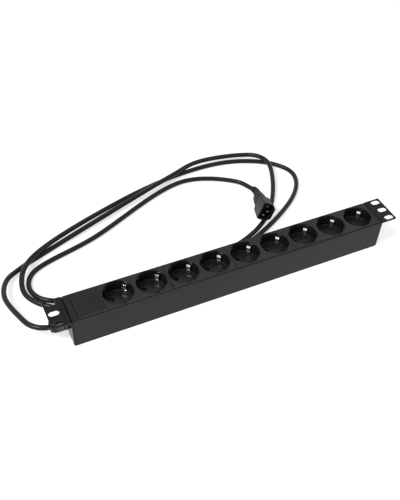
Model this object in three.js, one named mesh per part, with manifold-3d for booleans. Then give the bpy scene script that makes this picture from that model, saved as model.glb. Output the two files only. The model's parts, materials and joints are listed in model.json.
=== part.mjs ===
// A 19-inch rack power strip, one rack unit high, with nine earthed socket outlets, a blank
// label module, a cable gland and a mains lead that ends in a small three-pin appliance plug.
// Units are millimetres, +Z is up and the outlets face up. The origin lies under the middle of
// the strip, on the surface that it stands on. X runs along the strip, Y towards its back.
import * as THREE from 'three';
import { mergeVertices } from 'three/addons/utils/BufferGeometryUtils.js';
import Module from 'manifold-3d';

const wasm = await Module();
wasm.setup();

// Clearances and mesh counts
const fit = 0.3; // gap between pieces that touch
const overrun = 1; // how far a cutting solid runs past the face that it cuts
const bendSteps = 4; // steps in a sheet metal bend
const holeSides = 16;
const threadSides = 20;
const wellSides = 36;

// Housing: a hat-shaped folded tray and a U-shaped cover. The socket pitch follows from the
// width over the ears, and the recesses and the housing's depth follow from the pitch.
const rackWidth = 482.6; // over the ears, from the rack standard
const housingHeight = 44.4;
const traySheet = 1.5;
const earCornerRadius = 1.5;
const earBendRadius = 2.8; // outside of the bend between ear and leg
const floorBendRadius = 2.5; // outside of the bend between leg and floor
const coverSheet = 1.2;
const coverBendRadius = 2;
const coverFootGap = 0.4; // from the cover's lower edge to the surface below

// Rack fixing slots, three in each ear
const slotLength = 13.2;
const slotWidth = 7.8;
const slotPitch = 15.875;
const slotsPerEar = 3;
const slotOuterMargin = 2.15; // from a slot to the ear's outer edge; the rows are 465.1 apart
const slotInnerMargin = 6.25; // from a slot to the bend at the leg
const slotSideMargin = 2.025; // from the last slot to the ear's front or back edge

// Module row: one blank module, then sockets in groups
const rowLeftMargin = 10.1; // from the left leg's outer face to the row
const rowRightMargin = 5.8;
const labelModuleLength = 34.2;
const gangs = [2, 2, 2, 3]; // sockets in each socket module
const seam = 0.3; // gap between neighbouring modules
const faceStand = 1.6; // how far the module faces stand above the cover
const faceChamfer = 0.4;
const coverLip = 2; // from the housing's front or back to a module face
const shoulderDrop = 1.2; // from the cover's underside to where a module widens
const windowClearance = 0.3; // between a module's neck and the cover's window
const moduleWall = 1.6;
const modulePlate = 2.2;
const cupWall = 1.2;
const cupFloor = 2;

// Socket recess
const wellDepth = 17.5;
const wellSideMargin = 2.2; // from the recess to the edge of its pitch
const wellFaceMargin = 0.9; // from the recess to the front or back edge of the face
const wellChamfer = 0.35;
const pinSpacing = 19;
const pinHoleRadius = 2.75;
const pinTurn = 135; // direction from the middle to one pin hole, in degrees
const clipTurn = 45; // direction from the middle to one earth clip, in degrees
const ribWidth = 6;
const ribReach = 1.4; // how far a guide rib stands into the recess
const ribDrop = 1.5; // from the face down to the top of a rib

// Earth clip: a bow of spring strip with one arm on each side of the recess
const clipSheet = 0.8;
const clipWidth = 5;
const clipFootInset = 1.5; // from the recess wall to the middle of the strip at the floor
const clipBellyInset = 3.3;
const clipTipInset = 1.9;
const clipFootRise = 2.2; // heights above the recess floor
const clipBellyRise = 7;
const clipBellyLength = 2.6;
const clipTipRise = 12;
const clipSlotWidth = 6.2;
const clipSlotReach = 2.2;

// Busbars under the recess floors
const railSheet = 0.8;
const railWidth = 7.2;
const railHeight = 6.5; // underside of the line and neutral rails
const railLead = 9; // from the last socket's middle to the end of a rail
const railTail = 6.9; // from the first socket module back to the start of a rail
const jawGap = 4.6; // between the two leaves that grip a pin
const jawLength = 6;
const jawDrop = 2.5; // from the underside of a recess to the top of the leaves
const earthBarWidth = 6;

// Carriers that stand on the tray floor and hold the busbars
const baseGap = 0.6; // from a carrier to the cover's wall
const baseWall = 1.5;
const baseFloor = 2;
const railRibWidth = 3;
const barrierWidth = 1.6;

// Blank module with a label plate and four legs
const plateSideMargin = 2.45; // from the plate to the module's left or right edge
const plateEndMargin = 2.7; // from the plate to the front or back edge of the face
const plateSheet = 1;
const plateStand = 0.15; // how far the plate stands above the module face
const plateCornerRadius = 1;
const legLength = 5;
const legDepth = 3;

// Cover screws on the end legs, with tabs of the cover behind them
const screwRadius = 1.5;
const screwHeadRadius = 2.8;
const screwHeadHeight = 1.9;
const screwLength = 6;
const screwInset = 8.2; // from the housing's front or back to a screw
const screwDrop = 7.4; // from the top of the housing to a screw
const tabWidth = 10;
const tabDrop = 10;
const notchWidth = 1.5;
const notchDepth = 1.4;
const notchInset = 2.4; // from the end of the cover to the notch

// Cable gland on the left end leg
const glandRiseShare = 0.5; // of the housing's height, up to the gland's axis
const glandAcross = 18; // across the flats
const glandReach = 21.3; // outer end beyond the tray's leg
const glandFlange = 5;
const glandThreadRadius = 7.5;
const glandThreadLength = 6; // inside the tray, from the leg's inner face
const glandBoreRadius = 3.9;
const glandCollar = 4.4; // outer threaded collar under the dome nut
const glandNutWall = 1.4;
const glandNutHex = 8;
const glandNutTipRadius = 6.4;
const locknutThickness = 3.6;
const locknutAcross = 19;
const sealThickness = 3; // wall of the rubber seal
const sealLength = 6.5;

// Mains lead and its cores
const cordRadius = 3.4;
const cordSides = 10;
const cordSteps = 80;
const tailInside = 13; // sheath inside the housing, from the leg's outer face
const coreRadius = 1.3;
const coreOffset = 1.7;
const coreTurns = { line: 120, neutral: -120, earth: 0 }; // degrees round the sheath's axis, from the top
const coreSides = 8;
const coreSteps = 12;
const studRadius = 2;
const studHeight = 7;
const studNutAcross = 7;
const studNutHeight = 3.2;
const lugRadius = 4.2;
const lugSheet = 0.8;

// Route of the free lead, chosen by hand. First the drop from the gland: X and Y from the
// gland's outlet, and the height as a share, 1 at the gland and 0 on the surface.
const cordDrop = [[-0.9, 0, 1], [-5, 1.2, 1], [-13, 5.3, 0.995], [-21, 13.5, 0.975], [-27, 28, 0.915]];
// Then two and a half long turns on the surface: X from the gland's outlet, Y from the housing's
// back wall and the rise above where the lead lies flat. They end at the plug.
const cordRoute = [
  [-36, 50, 11.6], [-26, 82, 5.6], [-4, 100, 1], [35, 117, 0.2], [250, 191, 7.2], [300, 206, 7.2],
  [372, 200, 4], [393, 185, 7], [400, 162, 8], [360, 81, 1], [295, 35, 0.2], [100, 8, 0.2],
  [20, 19, 0.2], [-9, 50, 1], [-9, 74, 5], [10, 103, 8], [156, 172, 0.6], [275, 198, 0.3],
  [352, 195, 0.1], [405, 171, 0], [427, 142, 0], [425, 119, 0], [402, 88, 0], [320, 37, 0.2],
  [224, 6, 2], [148, 12, 8], [70, 25, 0.5], [31, 26, 0.1], [4, 43, 0], [-2.5, 64, 0],
  [9, 87, 0], [100, 117, 0.2], [267, 180, 0.1], [339, 149, 0.3], [352.7, 123.9, 1.6],
];

// Appliance plug: its pose and its moulded body
const plugFromLead = { x: -16.7, y: -70.7, z: 18.1 }; // from the lead's end to the open face
const plugYaw = 15.9; // degrees from -Y towards -X
const plugPitch = 14.2; // degrees, nose up
const plugRoll = 66.5; // degrees about the plug's own axis
const plugWidth = 26.6;
const plugHeight = 19.6;
const plugChamfer = 5.5;
const plugWall = 1.5;
const plugCavity = 16;
const plugLength = 51;
const plugRearWidth = 14.5;
const plugRearHeight = 13;
const plugRearChamfer = 4;
const plugGripLength = 17; // narrower grip at the plug's rear
const plugGripWidth = 17.5;
const plugGripHeight = 15;
const plugBlendLength = 12; // from the grip to the full shroud
const plugSinkShare = 0.5; // of the wall, how deep the boot is rooted in the body
const bootLength = 21;
const bootRootRadius = 5.9;
const bootTipRadius = 4.3;
const bootRibs = 5;
const bootRibHeight = 0.55;
const bootStepsPerRib = 4;
const bootSides = 12;
const bladeSpacing = 14;
const bladeOffset = 4; // from the row of the outer blades to the earth blade
const bladeWidth = 4;
const bladeSheet = 2;
const bladeLength = 13;
const bladeTip = 0.7;
const insertThickness = 3;

// Values that follow from the sizes above
const socketCount = gangs.reduce((sum, gang) => sum + gang, 0);
const slotMiddle = rackWidth / 2 - slotOuterMargin - slotLength / 2;
const legInner = slotMiddle - slotLength / 2 - slotInnerMargin - earBendRadius;
const legOuter = legInner + traySheet;
const earDepth = slotPitch * (slotsPerEar - 1) + slotWidth + slotSideMargin * 2;
const rowLength = legOuter * 2 - rowLeftMargin - rowRightMargin;
const socketPitch = (rowLength + seam - labelModuleLength) / socketCount;
const wellRadius = socketPitch / 2 - wellSideMargin;
const faceDepth = (wellRadius + wellFaceMargin) * 2;
const housingDepth = faceDepth + coverLip * 2; // front wall to back wall
const faceHeight = housingHeight + faceStand; // top of the module faces
const shoulderHeight = housingHeight - coverSheet - shoulderDrop;
const coverEnd = legInner - fit;
const wallInner = housingDepth / 2 - coverSheet;
const moduleRowStart = rowLeftMargin - legOuter;
const baseDepth = (wallInner - baseGap) * 2;
const plateLength = labelModuleLength - seam - plateSideMargin * 2;
const platePanelDepth = faceDepth - plateEndMargin * 2;
const screwHeight = housingHeight - screwDrop;
const screwReach = housingDepth / 2 - screwInset;
const glandHeight = housingHeight * glandRiseShare;
const clipFootRadius = wellRadius - clipFootInset;
const clipBellyRadius = wellRadius - clipBellyInset;
const clipTipRadius = wellRadius - clipTipInset;
const wellFloor = faceHeight - wellDepth;
const cupBottom = wellFloor - cupFloor;
const moduleStart = moduleRowStart + labelModuleLength;
const moduleRowEnd = moduleStart + socketCount * socketPitch - seam;
const socketX = (index) => moduleStart + (index + 1 / 2) * socketPitch - seam / 2;
const pinReach = pinSpacing / 2;
const pinSide = pinReach * Math.SQRT1_2;
const trayTop = traySheet + fit;
const clipWebTop = cupBottom - fit;
const earthBarTop = clipWebTop - clipSheet - fit;
const baseTop = cupBottom - fit;
const railStart = moduleStart - railTail;
const jawTop = cupBottom - jawDrop;

// Colours, roughness and metalness
const steelPaint = { color: 0x242527, roughness: 0.55, metalness: 0.2 };
const moulding = { color: 0x1d1d1f, roughness: 0.6, metalness: 0 };
const rubber = { color: 0x17171a, roughness: 0.75, metalness: 0 };
const nickel = { color: 0xc9c8c4, roughness: 0.25, metalness: 1 };
const brassTone = { color: 0xc0a05a, roughness: 0.35, metalness: 1 };
const plateTone = { color: 0x141416, roughness: 0.4, metalness: 0 };
const zincTone = { color: 0x9a9b9c, roughness: 0.35, metalness: 1 };
const carrierTone = { color: 0x3a3a3c, roughness: 0.65, metalness: 0 };
const lineTone = { color: 0x6b3f22, roughness: 0.5, metalness: 0 };
const neutralTone = { color: 0x2a5da8, roughness: 0.5, metalness: 0 };
const earthTone = { color: 0x6f9a2e, roughness: 0.5, metalness: 0 };

const strip = new THREE.Group();

function addPart(name, geometry, look) {
  const mesh = new THREE.Mesh(geometry, new THREE.MeshStandardMaterial(look));
  mesh.name = name;
  strip.add(mesh);
  return mesh;
}

// A closed mesh as a solid, and a solid as a mesh again
function toSolid(geometry) {
  const bare = geometry.clone();
  bare.deleteAttribute('normal');
  bare.deleteAttribute('uv');
  const merged = mergeVertices(bare);
  return new wasm.Manifold(new wasm.Mesh({
    numProp: 3,
    vertProperties: new Float32Array(merged.attributes.position.array),
    triVerts: new Uint32Array(merged.index.array),
  }));
}

function toGeometry(solid) {
  const mesh = solid.getMesh();
  const geometry = new THREE.BufferGeometry();
  geometry.setAttribute('position', new THREE.BufferAttribute(mesh.vertProperties, 3));
  geometry.setIndex(new THREE.BufferAttribute(mesh.triVerts, 1));
  geometry.computeVertexNormals();
  return geometry;
}

const joined = (first, ...rest) => rest.reduce((sum, piece) => sum.add(piece), first);
const cutBy = (first, ...rest) => rest.reduce((sum, piece) => sum.subtract(piece), first);

// Limits in rising order, and limits on both sides of a middle
const ordered = (first, second) => [Math.min(first, second), Math.max(first, second)];
const around = (middle, size) => [middle - size / 2, middle + size / 2];

// Simple solids, given by their limits or by an outline
function block([x0, x1], [y0, y1], [z0, z1]) {
  const geometry = new THREE.BoxGeometry(x1 - x0, y1 - y0, z1 - z0);
  return toSolid(geometry.translate((x0 + x1) / 2, (y0 + y1) / 2, (z0 + z1) / 2));
}

function extruded(shape, length, sides = bendSteps) {
  return new THREE.ExtrudeGeometry(shape, { depth: length, bevelEnabled: false, curveSegments: sides });
}

function prismX(shape, x0, x1, sides) {
  const turn = new THREE.Matrix4().makeBasis(
    new THREE.Vector3(0, 1, 0), new THREE.Vector3(0, 0, 1), new THREE.Vector3(1, 0, 0));
  return toSolid(extruded(shape, x1 - x0, sides).applyMatrix4(turn).translate(x0, 0, 0));
}

function prismY(shape, y0, y1, sides) {
  const turn = new THREE.Matrix4().makeBasis(
    new THREE.Vector3(1, 0, 0), new THREE.Vector3(0, 0, 1), new THREE.Vector3(0, -1, 0));
  return toSolid(extruded(shape, y1 - y0, sides).applyMatrix4(turn).translate(0, y1, 0));
}

function prismZ(shape, z0, z1, sides) {
  return toSolid(extruded(shape, z1 - z0, sides).translate(0, 0, z0));
}

function polygon(points) {
  return new THREE.Shape(points.map(([x, y]) => new THREE.Vector2(x, y)));
}

// A round solid from its profile of [radius, height] pairs, standing on the Z axis.
// The profile may run either way: the skin always faces outwards.
function turned(profile, sides) {
  const outline = profile.map(([r, z]) => new THREE.Vector2(r, z));
  if (THREE.ShapeUtils.isClockWise(outline)) outline.reverse();
  return new THREE.LatheGeometry(outline, sides).rotateX(Math.PI / 2);
}

// A round solid from its profile of [radius, place] pairs along X
function turnedX(profile, sides, height) {
  const turn = new THREE.Matrix4().makeBasis(
    new THREE.Vector3(0, 1, 0), new THREE.Vector3(0, 0, 1), new THREE.Vector3(1, 0, 0));
  return toSolid(turned(profile, sides).applyMatrix4(turn).translate(0, 0, height));
}

function rodZ(radius, x, y, z0, z1, sides = holeSides) {
  return toSolid(turned([[0, z0], [radius, z0], [radius, z1], [0, z1]], sides).translate(x, y, 0));
}

function rodX(radius, x0, x1, y, z, sides = holeSides) {
  return turnedX([[0, x0], [radius, x0], [radius, x1], [0, x1]], sides, z).translate([0, y, 0]);
}

function roundedRectangle(width, depth, radius) {
  const shape = new THREE.Shape();
  const x = width / 2 - radius;
  const y = depth / 2 - radius;
  shape.absarc(x, y, radius, 0, Math.PI / 2);
  shape.absarc(-x, y, radius, Math.PI / 2, Math.PI);
  shape.absarc(-x, -y, radius, Math.PI, Math.PI * 3 / 2);
  shape.absarc(x, -y, radius, Math.PI * 3 / 2, Math.PI * 2);
  return shape;
}

function hexagon(across) {
  const corner = across / Math.sqrt(3);
  const turns = [...Array(6).keys()].map((side) => side * Math.PI / 3);
  return polygon(turns.map((turn) => [corner * Math.sin(turn), corner * Math.cos(turn)]));
}

// A round wire along a curve, closed at both ends
function wire(curve, radius, sides, steps) {
  const turns = [...Array(sides).keys()].map((side) => side * Math.PI * 2 / sides);
  const section = polygon(turns.map((turn) => [radius * Math.cos(turn), radius * Math.sin(turn)]));
  return new THREE.ExtrudeGeometry(section, { steps, extrudePath: curve, bevelEnabled: false });
}

// A closed skin over rings that have the same number of points, from the first to the last
function skinned(rings) {
  const count = rings[0].length;
  const total = (ring) => ring.reduce((sum, point) => sum.add(point), new THREE.Vector3());
  const middle = (ring) => total(ring).divideScalar(count);
  const points = [...rings.flat(), middle(rings[0]), middle(rings[rings.length - 1])];
  const start = points.length - 2;
  const end = points.length - 1;
  const faces = [];
  for (let side = 0; side < count; side += 1) {
    const next = (side + 1) % count;
    for (let ring = 0; ring + 1 < rings.length; ring += 1) {
      const a = ring * count;
      const b = a + count;
      faces.push(a + side, a + next, b + next, a + side, b + next, b + side);
    }
    const last = (rings.length - 1) * count;
    faces.push(start, next, side, end, last + side, last + next);
  }
  const geometry = new THREE.BufferGeometry().setFromPoints(points);
  geometry.setIndex(faces);
  return geometry;
}

// Base tray: ear, leg, floor, leg and ear folded from one sheet
function trayOutline() {
  const ear = rackWidth / 2;
  const bendX = legInner + earBendRadius;
  const bendZ = housingHeight - earBendRadius;
  const foldX = legOuter - floorBendRadius;
  const hollow = earBendRadius - traySheet;
  const inside = floorBendRadius - traySheet;
  const quarter = Math.PI / 2;
  const shape = new THREE.Shape();
  shape.moveTo(-ear, housingHeight);
  shape.lineTo(-ear, housingHeight - traySheet);
  shape.absarc(-bendX, bendZ, hollow, quarter, 0, true);
  shape.absarc(-foldX, floorBendRadius, floorBendRadius, quarter * 2, quarter * 3);
  shape.absarc(foldX, floorBendRadius, floorBendRadius, quarter * 3, quarter * 4);
  shape.absarc(bendX, bendZ, hollow, quarter * 2, quarter, true);
  shape.lineTo(ear, housingHeight - traySheet);
  shape.lineTo(ear, housingHeight);
  shape.absarc(bendX, bendZ, earBendRadius, quarter, quarter * 2);
  shape.absarc(foldX, floorBendRadius, inside, 0, -quarter, true);
  shape.absarc(-foldX, floorBendRadius, inside, -quarter, -quarter * 2, true);
  shape.absarc(-bendX, bendZ, earBendRadius, 0, quarter);
  return shape;
}

function rackSlot(x, y) {
  const straight = (slotLength - slotWidth) / 2;
  const radius = slotWidth / 2;
  const quarter = Math.PI / 2;
  const shape = new THREE.Shape();
  shape.absarc(x + straight, y, radius, -quarter, quarter);
  shape.absarc(x - straight, y, radius, quarter, quarter * 3);
  return prismZ(shape, housingHeight - traySheet - overrun, housingHeight + overrun, holeSides / 2);
}

function screwPlaces() {
  const places = [];
  for (const side of [-1, 1]) {
    for (const y of [-screwReach, screwReach]) places.push({ side, y });
  }
  return places;
}

function screwHole({ side, y }) {
  const ends = ordered(side * (legOuter + overrun), side * (coverEnd - coverSheet - overrun));
  return rodX(screwRadius + fit, ends[0], ends[1], y, screwHeight);
}

function baseTray() {
  const half = earDepth / 2;
  const sheet = prismY(trayOutline(), -half, half);
  const plan = roundedRectangle(rackWidth, earDepth, earCornerRadius);
  const trim = prismZ(plan, -overrun, housingHeight + overrun);
  const floorHalf = wallInner - fit;
  const cuts = [-1, 1].map((side) => {
    const y = ordered(side * floorHalf, side * (half + overrun));
    return block([-coverEnd - fit, coverEnd + fit], y, [-overrun, floorBendRadius + overrun]);
  });
  for (const side of [-1, 1]) {
    for (let slot = 0; slot < slotsPerEar; slot += 1) {
      cuts.push(rackSlot(side * slotMiddle, (slot - (slotsPerEar - 1) / 2) * slotPitch));
    }
  }
  screwPlaces().forEach((place) => cuts.push(screwHole(place)));
  const leg = [-legOuter - overrun, -legInner + overrun];
  cuts.push(rodX(glandThreadRadius + fit, ...leg, 0, glandHeight, threadSides));
  return cutBy(sheet.intersect(trim), ...cuts);
}

// Top cover: side walls and top from one sheet, with a long window for the module row
function coverOutline() {
  const half = housingDepth / 2;
  const bendY = half - coverBendRadius;
  const bendZ = housingHeight - coverBendRadius;
  const inside = coverBendRadius - coverSheet;
  const quarter = Math.PI / 2;
  const shape = new THREE.Shape();
  shape.moveTo(wallInner, coverFootGap);
  shape.lineTo(half, coverFootGap);
  shape.absarc(bendY, bendZ, coverBendRadius, 0, quarter);
  shape.absarc(-bendY, bendZ, coverBendRadius, quarter, quarter * 2);
  shape.lineTo(-half, coverFootGap);
  shape.lineTo(-wallInner, coverFootGap);
  shape.absarc(-bendY, bendZ, inside, quarter * 2, quarter, true);
  shape.absarc(bendY, bendZ, inside, quarter, 0, true);
  return shape;
}

function topCover() {
  const underside = housingHeight - coverSheet;
  const windowHalf = faceDepth / 2 + windowClearance;
  const window = block([moduleRowStart - windowClearance, moduleRowEnd + windowClearance],
    [-windowHalf, windowHalf], [underside - overrun, housingHeight + overrun]);
  const tabs = screwPlaces().map(({ side, y }) => {
    const x = ordered(side * coverEnd, side * (coverEnd - coverSheet));
    return block(x, around(y, tabWidth), [underside - tabDrop, underside + coverSheet / 2]);
  });
  const notches = [];
  for (const side of [-1, 1]) {
    for (const face of [-1, 1]) {
      const x = ordered(side * (coverEnd - notchInset), side * (coverEnd - notchInset - notchWidth));
      const y = ordered(face * (housingDepth / 2 + overrun), face * (housingDepth / 2 - notchDepth));
      notches.push(block(x, y, [housingHeight - notchDepth, housingHeight + overrun]));
    }
  }
  const shell = joined(prismX(coverOutline(), -coverEnd, coverEnd), ...tabs);
  return cutBy(shell, window, ...notches, ...screwPlaces().map(screwHole));
}

// A module's outside: a wide skirt under the cover's lip and a neck through its window
function moduleBlock(x0, x1, bottom) {
  const wide = wallInner - fit;
  const neck = faceDepth / 2;
  return prismX(polygon([
    [-wide, bottom], [wide, bottom], [wide, shoulderHeight], [neck, shoulderHeight],
    [neck, faceHeight - faceChamfer], [neck - faceChamfer, faceHeight],
    [-neck + faceChamfer, faceHeight], [-neck, faceHeight - faceChamfer],
    [-neck, shoulderHeight], [-wide, shoulderHeight],
  ]), x0, x1);
}

function moduleHollow(x0, x1, bottom) {
  const half = wallInner - fit - moduleWall;
  const height = [bottom - overrun, faceHeight - modulePlate];
  return block([x0 + moduleWall, x1 - moduleWall], [-half, half], height);
}

function turnedBy(solid, degrees, x) {
  return solid.rotate([0, 0, degrees]).translate([x, 0, 0]);
}

function socketWell(x) {
  const rim = wellRadius + wellChamfer;
  return toSolid(turned([
    [0, wellFloor], [wellRadius, wellFloor], [wellRadius, faceHeight - wellChamfer],
    [rim, faceHeight], [rim, faceHeight + overrun], [0, faceHeight + overrun],
  ], wellSides).translate(x, 0, 0));
}

function socketRibs(x) {
  const ends = [wellRadius - ribReach, wellRadius + cupWall / 2];
  const side = [-ribWidth / 2, ribWidth / 2];
  const rise = [wellFloor - cupFloor / 2, faceHeight - ribDrop];
  return [0, 180].map((turn) => turnedBy(block(ends, side, rise), pinTurn + turn, x));
}

function socketHoles(x) {
  const depth = [cupBottom - overrun, wellFloor + overrun];
  const slot = [clipFootRadius - clipSlotReach / 2, clipFootRadius + clipSlotReach / 2];
  const side = [-clipSlotWidth / 2, clipSlotWidth / 2];
  return [0, 180].flatMap((turn) => [
    turnedBy(rodZ(pinHoleRadius, pinReach, 0, ...depth), pinTurn + turn, x),
    turnedBy(block(slot, side, depth), clipTurn + turn, x),
  ]);
}

function socketModule(first, gang) {
  const x0 = moduleStart + first * socketPitch;
  const x1 = x0 + gang * socketPitch - seam;
  const places = [...Array(gang).keys()].map((index) => socketX(first + index));
  const cupRadius = wellRadius + cupWall;
  const cups = places.map((x) => rodZ(cupRadius, x, 0, cupBottom - overrun * 2, faceHeight, wellSides));
  const hollow = cutBy(moduleHollow(x0, x1, cupBottom), ...cups);
  const shell = cutBy(moduleBlock(x0, x1, cupBottom), hollow, ...places.map(socketWell));
  return cutBy(joined(shell, ...places.flatMap(socketRibs)), ...places.flatMap(socketHoles));
}

// Earth clip, drawn in the plane of its bow: a web with two arms that lean in and out again
function clipOutline() {
  const half = clipSheet / 2;
  const webTop = clipWebTop;
  const arm = [
    [clipFootRadius, wellFloor + clipFootRise],
    [clipBellyRadius, wellFloor + clipBellyRise],
    [clipBellyRadius, wellFloor + clipBellyRise + clipBellyLength],
    [clipTipRadius, wellFloor + clipTipRise],
  ];
  const outer = arm.map(([r, z]) => [r + half, z]);
  const inner = arm.map(([r, z]) => [r - half, z]).reverse();
  const foot = [[clipFootRadius + half, webTop - clipSheet], [clipFootRadius - half, webTop]];
  const right = [foot[0], ...outer, ...inner, foot[1]];
  const left = right.map(([r, z]) => [-r, z]).reverse();
  return polygon([...right, ...left]);
}

function earthClip(x) {
  return turnedBy(prismY(clipOutline(), ...around(0, clipWidth)), clipTurn, x);
}

// Line and neutral rails with two gripping leaves under each pin hole
function contactRail(side) {
  const y = side * pinSide;
  const end = socketX(socketCount - 1) + railLead;
  const rail = block([railStart, end], around(y, railWidth), [railHeight, railHeight + railSheet]);
  const leaves = [];
  for (let index = 0; index < socketCount; index += 1) {
    const x = socketX(index) - side * pinSide;
    for (const cheek of [-1, 1]) {
      const limits = ordered(y + cheek * jawGap / 2, y + cheek * (jawGap / 2 + railSheet));
      leaves.push(block(around(x, jawLength), limits, [railHeight + railSheet / 2, jawTop]));
    }
  }
  return joined(rail, ...leaves);
}

function earthBar() {
  const end = socketX(socketCount - 1) + railLead;
  return block([railStart, end], around(0, earthBarWidth), [earthBarTop - railSheet, earthBarTop]);
}

// Carrier: an open trough with a rib under each rail and a barrier under the earth bar
function moduleBase(first, gang) {
  const half = baseDepth / 2;
  const floor = trayTop + baseFloor;
  const ribTop = railHeight - fit;
  const barrierTop = earthBarTop - railSheet - fit;
  const ribIn = pinSide - railRibWidth / 2;
  const ribOut = pinSide + railRibWidth / 2;
  const right = [
    [half, trayTop], [half, baseTop], [half - baseWall, baseTop], [half - baseWall, floor],
    [ribOut, floor], [ribOut, ribTop], [ribIn, ribTop], [ribIn, floor],
    [barrierWidth / 2, floor], [barrierWidth / 2, barrierTop],
  ];
  const left = right.map(([y, z]) => [-y, z]).reverse();
  const x0 = moduleStart + first * socketPitch;
  return prismX(polygon([...right, ...left]), x0, x0 + gang * socketPitch - seam);
}

// Blank module: a shallow seat for the label plate and four legs down to the tray floor
function labelModule() {
  const x0 = moduleRowStart;
  const x1 = moduleStart - seam;
  const wide = wallInner - fit;
  const legs = [];
  for (const x of [[x0, x0 + legLength], [x1 - legLength, x1]]) {
    for (const y of [[-wide, legDepth - wide], [wide - legDepth, wide]]) {
      legs.push(block(x, y, [trayTop, cupBottom + moduleWall]));
    }
  }
  const seat = prismZ(roundedRectangle(plateLength + fit * 2, platePanelDepth + fit * 2, plateCornerRadius),
    faceHeight - plateSheet + plateStand - fit, faceHeight + overrun).translate([(x0 + x1) / 2, 0, 0]);
  const shell = cutBy(moduleBlock(x0, x1, cupBottom), moduleHollow(x0, x1, cupBottom), seat);
  return joined(shell, ...legs);
}

function labelPlate() {
  const middle = (moduleRowStart + moduleStart - seam) / 2;
  const top = faceHeight + plateStand;
  return prismZ(roundedRectangle(plateLength, platePanelDepth, plateCornerRadius), top - plateSheet, top)
    .translate([middle, 0, 0]);
}

function coverScrew({ side, y }) {
  const face = legOuter + fit;
  const crown = screwHeadHeight / 4;
  const profile = [
    [0, face - screwLength], [screwRadius, face - screwLength], [screwRadius, face], [screwHeadRadius, face],
    [screwHeadRadius, face + screwHeadHeight - crown], [screwHeadRadius - crown, face + screwHeadHeight],
    [0, face + screwHeadHeight],
  ];
  const screw = toSolid(turned(profile, holeSides).rotateY(Math.PI / 2));
  return screw.rotate([0, 0, side > 0 ? 0 : 180]).translate([0, y, screwHeight]);
}

// Gland: body, locknut inside the tray, rubber seal and dome nut
function glandHex(across, x0, x1) {
  return prismX(hexagon(across), x0, x1).translate([0, 0, glandHeight]);
}

const glandFace = -legOuter - fit; // inner side of the gland's flange
const collarStart = glandFace - glandFlange;
const glandTip = -legOuter - glandReach - fit;
const nutStart = collarStart - fit;
const sealStart = collarStart - glandCollar - fit;

function glandBody() {
  const inside = -legInner + glandThreadLength;
  const outside = collarStart - glandCollar;
  const thread = rodX(glandThreadRadius, glandFace - glandFlange / 2, inside, 0, glandHeight, threadSides);
  const collar = rodX(glandThreadRadius, outside, collarStart + overrun, 0, glandHeight, threadSides);
  const bore = rodX(glandBoreRadius, outside - overrun, inside + overrun, 0, glandHeight);
  return cutBy(joined(glandHex(glandAcross, collarStart, glandFace), thread, collar), bore);
}

function glandLocknut() {
  const x0 = -legInner + fit;
  const x1 = x0 + locknutThickness;
  const bore = rodX(glandThreadRadius + fit, x0 - overrun, x1 + overrun, 0, glandHeight, threadSides);
  return cutBy(glandHex(locknutAcross, x0, x1), bore);
}

function glandSeal() {
  const inner = cordRadius + fit;
  const outer = inner + sealThickness;
  const nose = inner + sealThickness * 2 / 3;
  const profile = [
    [inner, sealStart], [inner, sealStart - sealLength], [nose, sealStart - sealLength],
    [outer, sealStart - sealLength / 3], [outer, sealStart], [inner, sealStart],
  ];
  return turnedX(profile, holeSides, glandHeight);
}

function glandDomeNut() {
  const corner = glandAcross / Math.sqrt(3);
  const shoulder = nutStart - glandNutHex;
  const outside = turnedX([
    [0, nutStart], [corner, nutStart], [corner, shoulder],
    [(corner + glandNutTipRadius) / 2, (shoulder + glandTip * 2) / 3],
    [glandNutTipRadius, glandTip], [0, glandTip],
  ], threadSides, glandHeight);
  const sealRadius = cordRadius + fit * 2 + sealThickness;
  const sealEnd = sealStart - sealLength;
  const hollow = turnedX([
    [0, nutStart + overrun], [glandThreadRadius + fit, nutStart + overrun],
    [glandThreadRadius + fit, sealStart], [sealRadius, sealStart - sealLength / 3],
    [sealRadius - sealThickness / 3, sealEnd - fit], [glandBoreRadius, sealEnd - glandNutWall],
    [glandBoreRadius, glandTip - overrun], [0, glandTip - overrun],
  ], threadSides, glandHeight);
  return cutBy(outside.intersect(glandHex(glandAcross, glandTip, nutStart)), hollow);
}

// Sheath inside the gland, then three cores to the busbars and a jumper to the tray
const tailEnd = -legOuter + tailInside;

function coreCurve(points) {
  return new THREE.CatmullRomCurve3(points.map((point) => new THREE.Vector3(...point)), false, 'centripetal');
}

function core(turn, target) {
  const angle = turn * Math.PI / 180;
  const y = coreOffset * Math.sin(angle);
  const z = glandHeight + coreOffset * Math.cos(angle);
  const x = tailEnd + fit;
  const end = railStart - fit;
  const reach = end - x;
  const lead = coreRadius * 2;
  return wire(coreCurve([
    [x, y, z], [x + lead, y, z], [x + reach / 2, (y + target[0]) / 2, (z + target[1]) / 2],
    [end - lead, target[0], target[1]], [end, target[0], target[1]],
  ]), coreRadius, coreSides, coreSteps);
}

const stud = { x: moduleRowStart + labelModuleLength / 2, y: -wallInner / 2 };

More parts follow.
